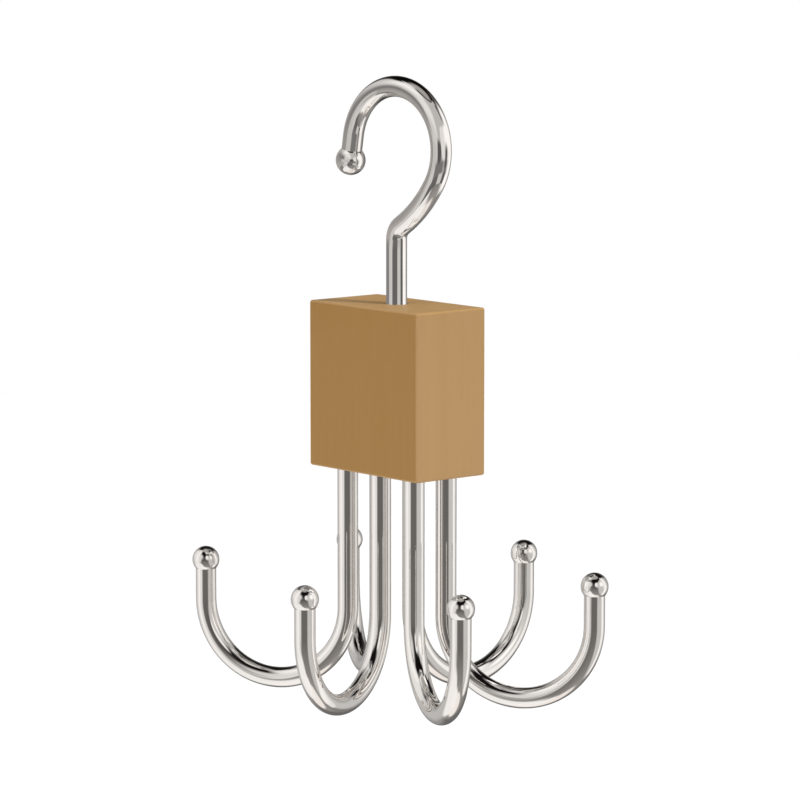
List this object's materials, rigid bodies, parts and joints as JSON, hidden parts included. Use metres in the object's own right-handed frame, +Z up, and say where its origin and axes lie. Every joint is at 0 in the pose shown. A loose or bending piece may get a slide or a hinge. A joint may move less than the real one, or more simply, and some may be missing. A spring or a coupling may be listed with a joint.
{
  "type": "belt hanger",
  "caption": "Belt hanger: a plain wooden block with a swivelling ball-ended hanging hook above and ball-ended J hooks spread below",
  "frame": {"origin": "the middle of the rail's seat: the inner side of the hanging hook's loop at its top, on the swivel's axis", "axes": "+Z up along the swivel's axis; X along the block's width, with the hook's tip on the -X side; -Y out of the wide front face"},
  "size_m": [0.0983, 0.0883, 0.15],
  "materials": {
    "wood": "fine straight grain, satin",
    "chrome": "mirror bright plating",
    "pin_steel": "plain drawn wire"
  },
  "bodies": {
    "hook": {"hanging_hook": "chrome", "hanging_hook_ball": "chrome"},
    "block": {"wood_block": "wood", "retaining_pin": "pin_steel", "belt_hook_left_front": "chrome", "ball_left_front": "chrome", "belt_hook_middle_front": "chrome", "ball_middle_front": "chrome", "belt_hook_right_front": "chrome", "ball_right_front": "chrome", "belt_hook_left_back": "chrome", "ball_left_back": "chrome", "belt_hook_middle_back": "chrome", "ball_middle_back": "chrome", "belt_hook_right_back": "chrome", "ball_right_back": "chrome"}
  },
  "joints": [
    {"name": "hook_swivel", "type": "hinge", "parent": "hook", "child": "block", "pos_m": [0, 0, -0.0493], "axis": [0, 0, 1], "continuous": true}
  ]
}
